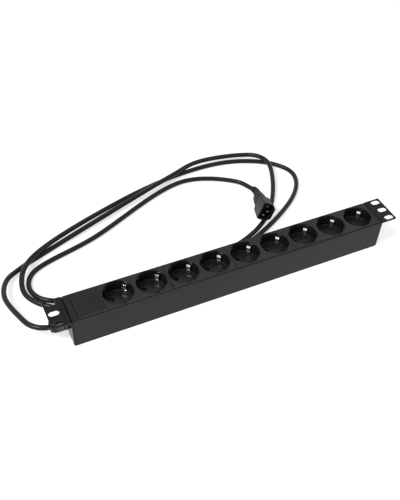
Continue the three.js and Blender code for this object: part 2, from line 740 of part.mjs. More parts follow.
// The jumper runs along the floor, under the neutral rail, and up to the middle of the earth bar
function earthJumper() {
  const lug = rodZ(lugRadius, stud.x, stud.y, trayTop, trayTop + lugSheet);
  const x = stud.x + lugRadius + fit;
  const z = trayTop + coreRadius;
  const barX = railStart + lugRadius;
  const barBottom = earthBarTop - railSheet - fit;
  const tongue = block([stud.x, x + coreRadius * 2], [stud.y - coreRadius, stud.y + coreRadius],
    [trayTop, trayTop + lugSheet]);
  const path = coreCurve([
    [x, stud.y, z], [x + coreRadius * 2, stud.y, z], [railStart + coreRadius, -pinSide / 2, z],
    [barX, 0, z + coreRadius * 2], [barX, 0, (z + barBottom) / 2], [barX, 0, barBottom],
  ]);
  const lead = toSolid(wire(path, coreRadius, coreSides, coreSteps * 2));
  const bore = rodZ(studRadius + fit, stud.x, stud.y, trayTop - overrun, trayTop + studHeight);
  return cutBy(joined(lug, tongue, lead), bore);
}

function earthNut() {
  const bottom = trayTop + lugSheet + fit;
  const shape = hexagon(studNutAcross);
  const nut = prismZ(shape, bottom, bottom + studNutHeight).translate([stud.x, stud.y, 0]);
  const bore = [bottom - overrun, bottom + studNutHeight + overrun];
  return cutBy(nut, rodZ(studRadius + fit, stud.x, stud.y, ...bore));
}

const outletRise = glandHeight - cordRadius;
const lead = coreCurve([
  ...cordDrop.map(([x, y, share]) => [glandTip + x, y, cordRadius + outletRise * share]),
  ...cordRoute.map(([x, y, rise]) => [glandTip + x, housingDepth / 2 + y, cordRadius + rise]),
]);

// Appliance plug, built around its own axis: X across, Y up, Z out of its open face
function plugPose() {
  const yaw = plugYaw * Math.PI / 180;
  const pitch = plugPitch * Math.PI / 180;
  const roll = plugRoll * Math.PI / 180;
  const ahead = new THREE.Vector3(-Math.sin(yaw), -Math.cos(yaw), Math.tan(pitch)).normalize();
  const level = new THREE.Vector3(0, 0, 1).cross(ahead).normalize();
  const across = level.clone().applyAxisAngle(ahead, roll);
  const up = ahead.clone().cross(across);
  const face = lead.getPoint(1).add(plugFromLead);
  return new THREE.Matrix4().makeBasis(across, up, ahead).setPosition(face);
}

function plugSection(width, height, chamfer) {
  const x = width / 2;
  const y = height / 2;
  const shoulder = chamfer - y;
  return [[x, shoulder], [x, y], [-x, y], [-x, shoulder], [chamfer - x, -y], [x - chamfer, -y]];
}

function plugBody() {
  const sections = [
    [-plugLength, plugRearWidth, plugRearHeight, plugRearChamfer],
    [plugGripLength - plugLength, plugGripWidth, plugGripHeight, plugRearChamfer],
    [plugGripLength + plugBlendLength - plugLength, plugWidth - plugWall, plugHeight - plugWall, plugChamfer],
    [0, plugWidth, plugHeight, plugChamfer],
  ];
  const rings = sections.map(([z, width, height, chamfer]) => plugSection(width, height, chamfer)
    .map(([x, y]) => new THREE.Vector3(x, y, z)));
  const walls = plugWall * 2;
  const hollow = polygon(plugSection(plugWidth - walls, plugHeight - walls, plugChamfer - plugWall / 2));
  return cutBy(toSolid(skinned(rings)), prismZ(hollow, -plugCavity, overrun));
}

// Boot: a ribbed taper that bends from the plug's axis to the lead's end
function plugBoot(pose) {
  const axis = new THREE.Vector3().setFromMatrixColumn(pose, 2);
  const back = new THREE.Vector3(0, 0, -plugLength).applyMatrix4(pose);
  const root = back.clone().addScaledVector(axis, plugWall * plugSinkShare);
  const heading = lead.getTangent(1);
  const tip = lead.getPoint(1).addScaledVector(heading, fit * 2);
  const handle = bootLength / 3;
  const curve = new THREE.CubicBezierCurve3(root, back.clone().addScaledVector(axis, -handle),
    tip.clone().addScaledVector(heading, handle), tip);
  const steps = bootRibs * bootStepsPerRib;
  const frames = curve.computeFrenetFrames(steps, false);
  const rings = [];
  for (let step = 0; step <= steps; step += 1) {
    const share = step / steps;
    const inGroove = step % bootStepsPerRib >= bootStepsPerRib / 2;
    const taper = bootRootRadius + (bootTipRadius - bootRootRadius) * share;
    const radius = inGroove ? taper : taper + bootRibHeight;
    const centre = curve.getPointAt(share);
    rings.push([...Array(bootSides).keys()].map((side) => {
      const turn = side * Math.PI * 2 / bootSides;
      return centre.clone().addScaledVector(frames.normals[step], radius * Math.cos(turn))
        .addScaledVector(frames.binormals[step], radius * Math.sin(turn));
    }));
  }
  return toSolid(skinned(rings));
}

function plugShell(pose) {
  return plugBody().transform(pose.toArray()).add(plugBoot(pose));
}

function plugInsert() {
  const walls = (plugWall + fit) * 2;
  const inner = plugSection(plugWidth - walls, plugHeight - walls, plugChamfer - plugWall / 2);
  const bottom = fit - plugCavity;
  const holes = bladePlaces().map(({ x, y }) => block(
    around(x, bladeSheet + fit * 2), around(y, bladeWidth + fit * 2),
    [bottom - overrun, bottom + insertThickness + overrun]));
  return cutBy(prismZ(polygon(inner), bottom, bottom + insertThickness), ...holes);
}

function bladePlaces() {
  return [
    { name: 'plug_line_blade', x: -bladeSpacing / 2, y: bladeOffset / 2 },
    { name: 'plug_neutral_blade', x: bladeSpacing / 2, y: bladeOffset / 2 },
    { name: 'plug_earth_blade', x: 0, y: -bladeOffset / 2 },
  ];
}

function plugBlade({ x, y }) {
  const base = fit - plugCavity;
  const ring = (z, shrink) => [[1, 1], [-1, 1], [-1, -1], [1, -1]].map(([sx, sy]) => new THREE.Vector3(
    x + sx * (bladeSheet / 2 - shrink), y + sy * (bladeWidth / 2 - shrink), z));
  const end = base + bladeLength;
  return toSolid(skinned([ring(base, 0), ring(end - bladeTip, 0), ring(end, bladeTip)]));
}

// Assembly
addPart('base_tray', toGeometry(baseTray()), steelPaint);
addPart('top_cover', toGeometry(topCover()), steelPaint);
addPart('label_module', toGeometry(labelModule()), moulding);
addPart('label_plate', toGeometry(labelPlate()), plateTone);

let firstSocket = 0;
gangs.forEach((gang, index) => {
  addPart(`socket_module_${index + 1}`, toGeometry(socketModule(firstSocket, gang)), moulding);
  addPart(`module_base_${index + 1}`, toGeometry(moduleBase(firstSocket, gang)), carrierTone);
  firstSocket += gang;
});

for (let index = 0; index < socketCount; index += 1) {
  addPart(`earth_clip_${index + 1}`, toGeometry(earthClip(socketX(index))), nickel);
}
addPart('line_busbar', toGeometry(contactRail(1)), brassTone);
addPart('neutral_busbar', toGeometry(contactRail(-1)), brassTone);
addPart('earth_busbar', toGeometry(earthBar()), brassTone);

screwPlaces().forEach((place, index) => {
  addPart(`cover_screw_${index + 1}`, toGeometry(coverScrew(place)), zincTone);
});

addPart('gland_body', toGeometry(glandBody()), moulding);
addPart('gland_locknut', toGeometry(glandLocknut()), moulding);
addPart('gland_seal', toGeometry(glandSeal()), rubber);
addPart('gland_dome_nut', toGeometry(glandDomeNut()), moulding);

addPart('cord_inner_tail', toGeometry(rodX(cordRadius, glandTip, tailEnd, 0, glandHeight)), rubber);
const railMiddle = railHeight + railSheet / 2;
addPart('core_line', core(coreTurns.line, [pinSide, railMiddle]), lineTone);
addPart('core_neutral', core(coreTurns.neutral, [-pinSide, railMiddle]), neutralTone);
addPart('core_earth', core(coreTurns.earth, [0, earthBarTop - railSheet / 2]), earthTone);
addPart('earth_jumper', toGeometry(earthJumper()), earthTone);
addPart('earth_stud', toGeometry(rodZ(studRadius, stud.x, stud.y, trayTop, trayTop + studHeight)), zincTone);
addPart('earth_nut', toGeometry(earthNut()), zincTone);

addPart('power_cord', wire(lead, cordRadius, cordSides, cordSteps), rubber);

const pose = plugPose();
addPart('plug_shell', toGeometry(plugShell(pose)), moulding);
addPart('plug_insert', toGeometry(plugInsert().transform(pose.toArray())), moulding);
bladePlaces().forEach((place) => {
  addPart(place.name, toGeometry(plugBlade(place).transform(pose.toArray())), nickel);
});

export default strip;
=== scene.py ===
import json
import math
import bpy
import bmesh
from mathutils import Vector, Matrix


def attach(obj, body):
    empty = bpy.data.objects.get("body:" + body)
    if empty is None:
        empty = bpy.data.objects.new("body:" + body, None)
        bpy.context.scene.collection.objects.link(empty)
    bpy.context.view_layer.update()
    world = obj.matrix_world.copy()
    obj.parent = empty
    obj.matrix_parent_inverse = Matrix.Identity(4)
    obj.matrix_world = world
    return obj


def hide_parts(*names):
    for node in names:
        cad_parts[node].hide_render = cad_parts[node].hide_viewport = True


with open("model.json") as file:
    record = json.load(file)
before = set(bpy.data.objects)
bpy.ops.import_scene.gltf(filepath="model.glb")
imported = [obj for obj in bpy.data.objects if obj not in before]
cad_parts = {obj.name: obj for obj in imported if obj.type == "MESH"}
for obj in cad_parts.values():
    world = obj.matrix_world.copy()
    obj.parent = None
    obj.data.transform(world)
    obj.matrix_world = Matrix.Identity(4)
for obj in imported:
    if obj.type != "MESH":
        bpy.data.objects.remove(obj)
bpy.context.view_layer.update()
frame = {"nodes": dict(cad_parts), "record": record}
scene = bpy.context.scene
scene.view_settings.view_transform = "Standard"
MM = 0.001

# Camera: the rows of its turn from the strip's frame, its place in millimetres and its lens
CAMERA_TURN = (
    (0.9036311, -0.4261733, 0.0427455),
    (-0.2779757, -0.6594582, -0.6984586),
    (0.3258533, 0.6192667, -0.7143727),
)
CAMERA_PLACE = (-325.92, -532.10, 689.31)
SENSOR_WIDTH = 36.0
FOCAL_LENGTH = 50.878
NEAREST = 0.01

right, down, forward = CAMERA_TURN
cam_data = bpy.data.cameras.new("photo_camera")
cam = bpy.data.objects.new("photo_camera", cam_data)
scene.collection.objects.link(cam)
cam_data.sensor_width = SENSOR_WIDTH
cam_data.lens = FOCAL_LENGTH
cam_data.clip_start = NEAREST
rows = [(right[k], -down[k], -forward[k], CAMERA_PLACE[k] * MM) for k in range(3)]
cam.matrix_world = Matrix((*rows, (0, 0, 0, 1)))
scene.camera = cam


# Node helpers
def new_material(name):
    mat = bpy.data.materials.new(name)
    mat.use_nodes = True
    nodes = mat.node_tree.nodes
    nodes.clear()
    out = nodes.new("ShaderNodeOutputMaterial")
    shader = nodes.new("ShaderNodeBsdfPrincipled")
    mat.node_tree.links.new(shader.outputs[0], out.inputs[0])
    return mat, nodes, mat.node_tree.links, shader


def noise(nodes, links, coord, scale, detail=3.0, rough=0.5, distortion=0.0):
    tex = nodes.new("ShaderNodeTexNoise")
    tex.inputs["Scale"].default_value = scale
    tex.inputs["Detail"].default_value = detail
    tex.inputs["Roughness"].default_value = rough
    tex.inputs["Distortion"].default_value = distortion
    links.new(coord, tex.inputs["Vector"])
    return tex.outputs["Fac"]


def ramp(nodes, links, fac, low, high):
    """A blend from one (place, colour) to another."""
    blend = nodes.new("ShaderNodeValToRGB")
    links.new(fac, blend.inputs[0])
    for element, (place_at, colour) in zip(blend.color_ramp.elements, (low, high)):
        element.position = place_at
        element.color = (*colour, 1)
    return blend.outputs[0]


def span(nodes, links, fac, limits):
    """Spreads the middle part of a noise over the limits."""
    spread = nodes.new("ShaderNodeMapRange")
    links.new(fac, spread.inputs[0])
    for socket, value in zip(spread.inputs[1:5], (0.3, 0.7, *limits)):
        socket.default_value = value
    return spread.outputs[0]


def object_coord(nodes):
    return nodes.new("ShaderNodeTexCoord").outputs["Object"]


def bump(nodes, links, shader, layers, edge=0.0):
    """layers: (height, strength, distance in metres), from the coarse to the fine."""
    normal = None
    if edge:
        bevel = nodes.new("ShaderNodeBevel")
        bevel.samples = 6
        bevel.inputs["Radius"].default_value = edge
        normal = bevel.outputs[0]
    for height, strength, distance in layers:
        layer = nodes.new("ShaderNodeBump")
        layer.inputs["Strength"].default_value = strength
        layer.inputs["Distance"].default_value = distance
        links.new(height, layer.inputs["Height"])
        if normal is not None:
            links.new(normal, layer.inputs["Normal"])
        normal = layer.outputs[0]
    links.new(normal, shader.inputs["Normal"])


def grey(value, tint=0.0):
    return (value * (1 - tint), value, value * (1 + tint))


# Materials
def moulded(name, dark, light, rough, grain=2600, depth=2.0e-5, spec=0.5):
    """Plastic or rubber from a mould, with a fine grain."""
    mat, nodes, links, shader = new_material(name)
    at = object_coord(nodes)
    wide = noise(nodes, links, at, scale=14, detail=4, rough=0.6)
    fine = noise(nodes, links, at, scale=grain, detail=2)
    wear = noise(nodes, links, at, scale=126, detail=5, rough=0.65)
    colour = ramp(nodes, links, wide, (0.3, grey(dark, 0.02)), (0.7, grey(light, 0.02)))
    links.new(colour, shader.inputs["Base Color"])
    links.new(span(nodes, links, wear, rough), shader.inputs["Roughness"])
    shader.inputs["Specular IOR Level"].default_value = spec
    bump(nodes, links, shader, [(fine, 0.5, depth)], edge=0.0003)
    return mat


def powder_coat(name, dark, light, rough, spec):
    """Painted sheet with a light orange peel and small specks."""
    mat, nodes, links, shader = new_material(name)
    at = object_coord(nodes)
    wide = noise(nodes, links, at, scale=9, detail=4, rough=0.6)
    speck = noise(nodes, links, at, scale=5200, detail=1)
    peel = noise(nodes, links, at, scale=1150, detail=2, rough=0.45, distortion=0.3)
    swell = noise(nodes, links, at, scale=240, detail=2)
    base = ramp(nodes, links, wide, (0.3, grey(dark, 0.03)), (0.7, grey(light, 0.03)))
    dots = nodes.new("ShaderNodeMix")
    dots.data_type = "RGBA"
    dots.inputs[7].default_value = (light * 2.4, light * 2.4, light * 2.5, 1)
    links.new(ramp(nodes, links, speck, (0.62, grey(0)), (0.74, grey(0.5))), dots.inputs[0])
    links.new(base, dots.inputs[6])
    links.new(dots.outputs[2], shader.inputs["Base Color"])
    links.new(span(nodes, links, peel, rough), shader.inputs["Roughness"])
    shader.inputs["Specular IOR Level"].default_value = spec
    bump(nodes, links, shader, [(swell, 0.25, 5e-5), (peel, 0.45, 3.5e-5)], edge=0.00035)
    return mat


def metal(name, colour, rough, streak=(1, 1, 1)):
    """Bare or plated metal with fine rolling lines and dull patches."""
    mat, nodes, links, shader = new_material(name)
    at = object_coord(nodes)
    mapping = nodes.new("ShaderNodeMapping")
    mapping.inputs["Scale"].default_value = streak
    links.new(at, mapping.inputs[0])
    lines = noise(nodes, links, mapping.outputs[0], scale=900, detail=4, rough=0.6)
    cloud = noise(nodes, links, at, scale=160, detail=4, rough=0.6)
    dull = tuple(c * 0.72 for c in colour)
    links.new(ramp(nodes, links, cloud, (0.32, dull), (0.6, colour)), shader.inputs["Base Color"])
    links.new(span(nodes, links, lines, rough), shader.inputs["Roughness"])
    shader.inputs["Metallic"].default_value = 1.0
    bump(nodes, links, shader, [(lines, 0.4, 4e-6)], edge=0.0002)
    return mat


def insulation(name, first, second):
    """Core insulation in two colours that run round it as a stripe."""
    mat, nodes, links, shader = new_material(name)
    at = object_coord(nodes)
    wave = nodes.new("ShaderNodeTexWave")
    wave.bands_direction = "DIAGONAL"
    wave.inputs["Scale"].default_value = 60
    wave.inputs["Distortion"].default_value = 1.5
    links.new(at, wave.inputs["Vector"])
    stripe = ramp(nodes, links, wave.outputs["Fac"], (0.48, first), (0.54, second))
    links.new(stripe, shader.inputs["Base Color"])
    fine = noise(nodes, links, at, scale=2400, detail=2)
    links.new(span(nodes, links, fine, (0.35, 0.5)), shader.inputs["Roughness"])
    bump(nodes, links, shader, [(fine, 0.4, 1.5e-5)])
    return mat


def sheath(name):
    """The lead's soft sheath, which shows the lay of its cores."""
    mat, nodes, links, shader = new_material(name)
    at = object_coord(nodes)
    wide = noise(nodes, links, at, scale=26, detail=4, rough=0.6)
    lay = noise(nodes, links, at, scale=170, detail=2)
    fine = noise(nodes, links, at, scale=3000, detail=2)
    wear = noise(nodes, links, at, scale=90, detail=4, rough=0.6)
    colour = ramp(nodes, links, wide, (0.3, grey(0.007, 0.02)), (0.7, grey(0.011, 0.02)))
    links.new(colour, shader.inputs["Base Color"])
    links.new(span(nodes, links, wear, (0.22, 0.34)), shader.inputs["Roughness"])
    shader.inputs["Specular IOR Level"].default_value = 0.25
    bump(nodes, links, shader, [(lay, 0.35, 1.2e-4), (fine, 0.4, 1.2e-5)])
    return mat


MATS = {
    "painted_steel": powder_coat("powder_coated_steel", 0.017, 0.022, (0.4, 0.52), spec=0.12),
    "tray_coat": powder_coat("tray_coat", 0.006, 0.008, (0.22, 0.3), spec=0.17),
    "module_plastic": moulded("module_moulding", 0.007, 0.010, (0.3, 0.4), spec=0.32),
    "label_plastic": moulded("label_panel", 0.007, 0.009, (0.42, 0.5), 4200, 8e-6, spec=0.22),
    "carrier_plastic": moulded("carrier_moulding", 0.03, 0.05, (0.5, 0.65)),
    "clip_nickel": metal("bright_nickel", (0.86, 0.85, 0.83), (0.05, 0.12)),
    # The blades' nickel is painted darker than real nickel: painted shade from the inside of the plug's deep
    # shroud.
    "blade_nickel": metal("nickel_painted_shade", (0.34, 0.33, 0.32), (0.28, 0.42)),
    "busbar_brass": metal("rolled_brass", (0.75, 0.55, 0.26), (0.25, 0.42), streak=(0.05, 1, 1)),
    "zinc_steel": metal("zinc_plated_steel", (0.62, 0.64, 0.66), (0.25, 0.4)),
    "gland_plastic": moulded("gland_moulding", 0.006, 0.009, (0.3, 0.42), 3000, spec=0.2),
    "seal_rubber": moulded("seal_rubber", 0.012, 0.018, (0.6, 0.75), spec=0.35),
    "plug_plastic": moulded("plug_moulding", 0.010, 0.014, (0.34, 0.46), 3400, 1.5e-5, spec=0.22),
    "core_brown": insulation("insulation_brown", (0.16, 0.06, 0.02), (0.19, 0.075, 0.028)),
    "core_blue": insulation("insulation_blue", (0.02, 0.08, 0.32), (0.025, 0.1, 0.38)),
    "core_green": insulation("insulation_earth", (0.05, 0.3, 0.05), (0.75, 0.62, 0.04)),
    "cord_sheath": sheath("pvc_sheath"),
}


# Mesh helpers, in millimetres
def finish_mesh(obj, smooth):
    mesh = obj.data
    for face in mesh.polygons:
        face.use_smooth = True
    mesh.set_sharp_from_angle(angle=math.radians(smooth))


def add(name, bm, slot_name, smooth, weld=True, look=None):
    """A finished piece in metres that rides on the strip."""
    if weld:
        bmesh.ops.remove_doubles(bm, verts=bm.verts, dist=1e-4)
    bmesh.ops.recalc_face_normals(bm, faces=bm.faces)
    bmesh.ops.scale(bm, vec=(MM, MM, MM), verts=bm.verts)
    mesh = bpy.data.meshes.new(name)
    bm.to_mesh(mesh)
    bm.free()
    obj = bpy.data.objects.new(name, mesh)
    scene.collection.objects.link(obj)
    mesh.materials.append(MATS[look or slot_name])
    finish_mesh(obj, smooth)
    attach(obj, "root")
    return obj


def loft(rings, bm=None):
    """A closed solid through rings of equally many points."""
    bm = bm or bmesh.new()
    rows = [[bm.verts.new(p) for p in ring] for ring in rings]
    count = len(rows[0])
    for a, b in zip(rows, rows[1:]):
        for i in range(count):
            j = (i + 1) % count
            bm.faces.new((a[i], a[j], b[j], b[i]))
    bm.faces.new(rows[0][::-1])
    bm.faces.new(rows[-1])
    return bm


def place(axis, u, v, w):
    return {"X": (w, u, v), "Y": (u, w, v), "Z": (u, v, w)}[axis]


def prism(outline, axis, a, b, bm=None):
    return loft([[place(axis, u, v, w) for u, v in outline] for w in (a, b)], bm)


def lathe(profile, centre, steps, axis="Z", bm=None):
    """A closed round solid from [radius, height] pairs that start and end on the axis."""
    bm = bm or bmesh.new()
    turns = [2 * math.pi * i / steps for i in range(steps)]
    rows = []
    for r, z in profile:
        ring = [(r * math.cos(t), r * math.sin(t)) for t in turns] if r > 0 else [(0, 0)]
        rows.append([bm.verts.new(Vector(place(axis, u, v, z)) + Vector(centre)) for u, v in ring])
    for a, b in zip(rows, rows[1:]):
        for i in range(steps):
            j = (i + 1) % steps
            if len(a) == 1:
                bm.faces.new((a[0], b[j], b[i]))
            elif len(b) == 1:
                bm.faces.new((a[i], a[j], b[0]))
            else:
                bm.faces.new((a[i], a[j], b[j], b[i]))
    return bm


def rod(radius, a, b, centre, steps, bm=None):
    """A round bar along X."""
    return lathe([(0, a), (radius, a), (radius, b), (0, b)], centre, steps, "X", bm)


def arc(cx, cy, r, a0, a1, steps):
    turns = [math.radians(a0 + (a1 - a0) * i / steps) for i in range(steps + 1)]
    return [(cx + r * math.cos(t), cy + r * math.sin(t)) for t in turns]


def corners(u0, v0, u1, v1):
    return [(u0, v0), (u1, v0), (u1, v1), (u0, v1)]


def rounded(points, radius, steps=5):
    """The outline with each corner rounded by radius, or by its own radius from a list."""
    out = []
    count = len(points)
    radii = radius if isinstance(radius, list) else [radius] * count
    for i, wanted in enumerate(radii):
        p, q, s = Vector(points[i - 1]), Vector(points[i]), Vector(points[(i + 1) % count])
        before, after = (p - q).normalized(), (s - q).normalized()
        half = math.acos(max(-1, min(1, before.dot(after)))) / 2
        if wanted <= 0:
            out.append(tuple(q))
            continue
        reach = min(wanted / math.tan(half), (p - q).length * 0.48, (s - q).length * 0.48)
        r = reach * math.tan(half)
        centre = q + (before + after).normalized() * (r / math.sin(half))
        a, b = q + before * reach - centre, q + after * reach - centre
        start = math.atan2(a.y, a.x)
        turn = (math.atan2(b.y, b.x) - start + math.pi) % (2 * math.pi) - math.pi
        for k in range(steps + 1):
            t = start + turn * k / steps
            out.append((centre.x + r * math.cos(t), centre.y + r * math.sin(t)))
    return out


def temp(bm, name):
    """A short-lived object for a boolean."""
    bmesh.ops.recalc_face_normals(bm, faces=bm.faces)
    mesh = bpy.data.meshes.new(name)
    bm.to_mesh(mesh)
    bm.free()
    obj = bpy.data.objects.new(name, mesh)
    scene.collection.objects.link(obj)
    return obj


def carve(base, *steps):
    """base and each tool are bmeshes; steps are (operation, bmesh). Returns a bmesh."""
    obj = temp(base, "blank")
    tools = []
    for kind, tool in steps:
        cutter = temp(tool, "cutter")
        tools.append(cutter)
        step = obj.modifiers.new("op", "BOOLEAN")
        step.operation = kind
        step.solver = "EXACT"
        step.object = cutter
    bpy.context.view_layer.update()
    graph = bpy.context.evaluated_depsgraph_get()
    result = bmesh.new()
    result.from_mesh(obj.evaluated_get(graph).data)
    for o in [obj, *tools]:
        mesh = o.data
        bpy.data.objects.remove(o)
        bpy.data.meshes.remove(mesh)
    return result


def put_round(bm, x, degrees, group):
    """Moves a solid to a socket at x, turns it round the socket's middle and adds it to a group."""
    centre = (x, 0, 0)
    bmesh.ops.translate(bm, vec=centre, verts=bm.verts)
    turn = Matrix.Rotation(math.radians(degrees), 3, "Z")
    bmesh.ops.rotate(bm, cent=centre, matrix=turn, verts=bm.verts)
    mesh = bpy.data.meshes.new("placed")
    bm.to_mesh(mesh)
    bm.free()
    group.from_mesh(mesh)
    bpy.data.meshes.remove(mesh)


# The free lead, in metres
ROUTE = [
    (-0.2409, 0, 0.0222), (-0.245, 0.0012, 0.0222), (-0.253, 0.0053, 0.02211), (-0.261, 0.0135, 0.02173),
    (-0.267, 0.028, 0.0206), (-0.276, 0.0722, 0.015), (-0.266, 0.1042, 0.009), (-0.244, 0.1222, 0.0044),
    (-0.205, 0.1392, 0.0036), (0.01, 0.2132, 0.0106), (0.06, 0.2282, 0.0106), (0.132, 0.2222, 0.0074),
    (0.153, 0.2072, 0.0104), (0.16, 0.1842, 0.0114), (0.12, 0.1032, 0.0044), (0.055, 0.0572, 0.0036),
    (-0.14, 0.0302, 0.0036), (-0.22, 0.0412, 0.0036), (-0.249, 0.0722, 0.0044), (-0.249, 0.0962, 0.0084),
    (-0.23, 0.1252, 0.0114), (-0.084, 0.1942, 0.004), (0.035, 0.2202, 0.0037), (0.112, 0.2172, 0.0035),
    (0.165, 0.1932, 0.0034), (0.187, 0.1642, 0.0034), (0.185, 0.1412, 0.0034), (0.162, 0.1102, 0.0034),
    (0.08, 0.0592, 0.0036), (-0.016, 0.0282, 0.0054), (-0.092, 0.0342, 0.0114), (-0.17, 0.0472, 0.0039),
    (-0.209, 0.0482, 0.0035), (-0.236, 0.0652, 0.0034), (-0.2425, 0.0862, 0.0034), (-0.231, 0.1092, 0.0034),
    (-0.14, 0.1392, 0.0036), (0.027, 0.2022, 0.0035), (0.099, 0.1712, 0.0037), (0.1127, 0.1461, 0.005),
]
NUT_BORE = Vector((-0.2380, 0, 0.0222))  # where the lead starts, inside the gland's nut
LEAD_RADIUS = 0.0034
LEAD_STEP = 0.0025
BOOT_ENTRY = 0.003  # how far the lead runs on inside the plug's boot


def smooth_route(points, step):
    """The same centripetal Catmull-Rom line as the CAD lead, in even short steps."""
    pts = [Vector(p) for p in points]
    pts = [2 * pts[0] - pts[1]] + pts + [2 * pts[-1] - pts[-2]]
    line = []
    for i in range(1, len(pts) - 2):
        p0, p1, p2, p3 = pts[i - 1:i + 3]
        d0, d1, d2 = [math.sqrt((b - a).length) for a, b in ((p0, p1), (p1, p2), (p2, p3))]
        t1 = ((p1 - p0) / d0 - (p2 - p0) / (d0 + d1) + (p2 - p1) / d1) * d1
        t2 = ((p2 - p1) / d1 - (p3 - p1) / (d1 + d2) + (p3 - p2) / d2) * d1
        count = max(2, round((p2 - p1).length / step))
        square = -3 * p1 + 3 * p2 - 2 * t1 - t2
        cube = 2 * p1 - 2 * p2 + t1 + t2
        for t in (k / count for k in range(count)):
            line.append(p1 + t1 * t + square * t * t + cube * t ** 3)
    return line + [pts[-2]]


def make_lead(line):
    curve = bpy.data.curves.new("mains_lead", "CURVE")
    curve.dimensions = "3D"
    curve.bevel_depth = LEAD_RADIUS
    curve.bevel_resolution = 7
    curve.use_fill_caps = True
    spline = curve.splines.new("POLY")
    spline.points.add(len(line) - 1)
    for point, q in zip(spline.points, line):
        point.co = (*q, 1)
    spline.use_smooth = True
    obj = bpy.data.objects.new("mains_lead", curve)
    scene.collection.objects.link(obj)
    curve.materials.append(MATS["cord_sheath"])
    return obj


free_line = smooth_route(ROUTE, LEAD_STEP)
lead_end = free_line[-1]
lead_heading = (lead_end - free_line[-2]).normalized()
lead_line = [NUT_BORE, (NUT_BORE + free_line[0]) / 2, *free_line, lead_end + lead_heading * BOOT_ENTRY]
lead = make_lead(lead_line)
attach(lead, "root")
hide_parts("power_cord")

# The appliance plug: its pose, then its sizes in millimetres along its own axis from the open face
PLUG_YAW, PLUG_PITCH, PLUG_ROLL = (math.radians(a) for a in (15.9, 14.2, 66.5))
PLUG_FACE = Vector((96, 75.4, 23.1))
PLUG_LENGTH = 51.0
PLUG_WIDTH, PLUG_HEIGHT = 26.6, 19.6

ahead = Vector((-math.sin(PLUG_YAW), -math.cos(PLUG_YAW), math.tan(PLUG_PITCH))).normalized()
level = Vector((0, 0, 1)).cross(ahead).normalized()
across = Matrix.Rotation(PLUG_ROLL, 3, ahead) @ level
up = ahead.cross(across)
PLUG_POSE = Matrix((
    (across.x, up.x, ahead.x, PLUG_FACE.x),
    (across.y, up.y, ahead.y, PLUG_FACE.y),
    (across.z, up.z, ahead.z, PLUG_FACE.z),
    (0, 0, 0, 1)))

# Rings of the body: place, width, height, cut of the lower corners and corner radius
PLUG_REAR = [(-PLUG_LENGTH, 13.1, 11.6, 3.6, 1.9), (0.25 - PLUG_LENGTH, 14.0, 12.5, 3.8, 2.3)]
PLUG_SECTIONS = [
    (-PLUG_LENGTH, 14.5, 13.0, 4.0, 2.6), (-34.0, 17.5, 15.0, 4.0, 2.4),
    (-22.0, PLUG_WIDTH - 1.5, PLUG_HEIGHT - 1.5, 5.5, 1.6), (0.0, PLUG_WIDTH, PLUG_HEIGHT, 5.5, 1.3),
]
# Rings of the rim and the cavity: place, how much narrower than the body, cut and corner radius
PLUG_MOUTH = [
    (-0.6, 0, 5.5, 1.3), (-0.25, 0.1, 5.5, 1.25), (-0.05, 0.4, 5.45, 1.1), (0.0, 0.8, 5.4, 1.0),
    (0.0, 2.3, 5.0, 0.7), (-0.15, 2.75, 4.9, 0.6), (-0.6, 3.0, 4.75, 0.55), (-12.0, 3.1, 4.75, 0.5),
    (-16.0, 3.2, 4.75, 0.5),
]
GRIP_START, GRIP_END = -48.6, -25.4
GRIP_MARGIN = 0.2
GROOVE_PITCH = 1.9
GROOVE_DEPTH = 0.42
FINE_STEP, COARSE_STEP = GROOVE_PITCH / 10, 0.7
BODY_START, BODY_END = 0.6 - PLUG_LENGTH, -0.8


def plug_ring(z, w, h, cut, corner):
    """The shroud's section: a rectangle whose two lower corners are cut, all corners rounded."""
    x, y = w / 2, h / 2
    pts = [(x, cut - y), (x, y), (-x, y), (-x, cut - y), (cut - x, -y), (x - cut, -y)]
    return [Vector((u, v, z)) for u, v in rounded(pts, corner)]


def plug_section(z):
    """Width, height, cut and corner of the body at z, eased between the sections."""
    for (z0, *a), (z1, *b) in zip(PLUG_SECTIONS, PLUG_SECTIONS[1:]):
        if z0 <= z <= z1:
            t = (z - z0) / (z1 - z0)
            eased = t * t * (3 - 2 * t)
            return [p + (q - p) * eased for p, q in zip(a, b)]


def groove_at(z):
    """Depth of the fine grip grooves at z."""
    phase = ((z - GRIP_START) % GROOVE_PITCH) / GROOVE_PITCH
    if not GRIP_START < z < GRIP_END or phase >= 0.5:
        return 0
    return GROOVE_DEPTH * max(0, math.sin(2 * math.pi * phase)) ** 0.6


def plug_rings():
    rings = [plug_ring(*row) for row in PLUG_REAR]
    z = BODY_START
    while z < BODY_END:
        w, h, cut, corner = plug_section(z)
        groove = 2 * groove_at(z)
        rings.append(plug_ring(z, w - groove, h - groove, cut, corner))
        on_grip = GRIP_START - GRIP_MARGIN < z < GRIP_END + GRIP_MARGIN
        z += FINE_STEP if on_grip else COARSE_STEP
    for z, narrower, cut, corner in PLUG_MOUTH:
        rings.append(plug_ring(z, PLUG_WIDTH - narrower, PLUG_HEIGHT - narrower, cut, corner))
    return rings


bm = loft(plug_rings())
bm.transform(PLUG_POSE)
plug_body = add("plug_body", bm, "plug_plastic", 32, weld=False)
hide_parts("plug_shell")

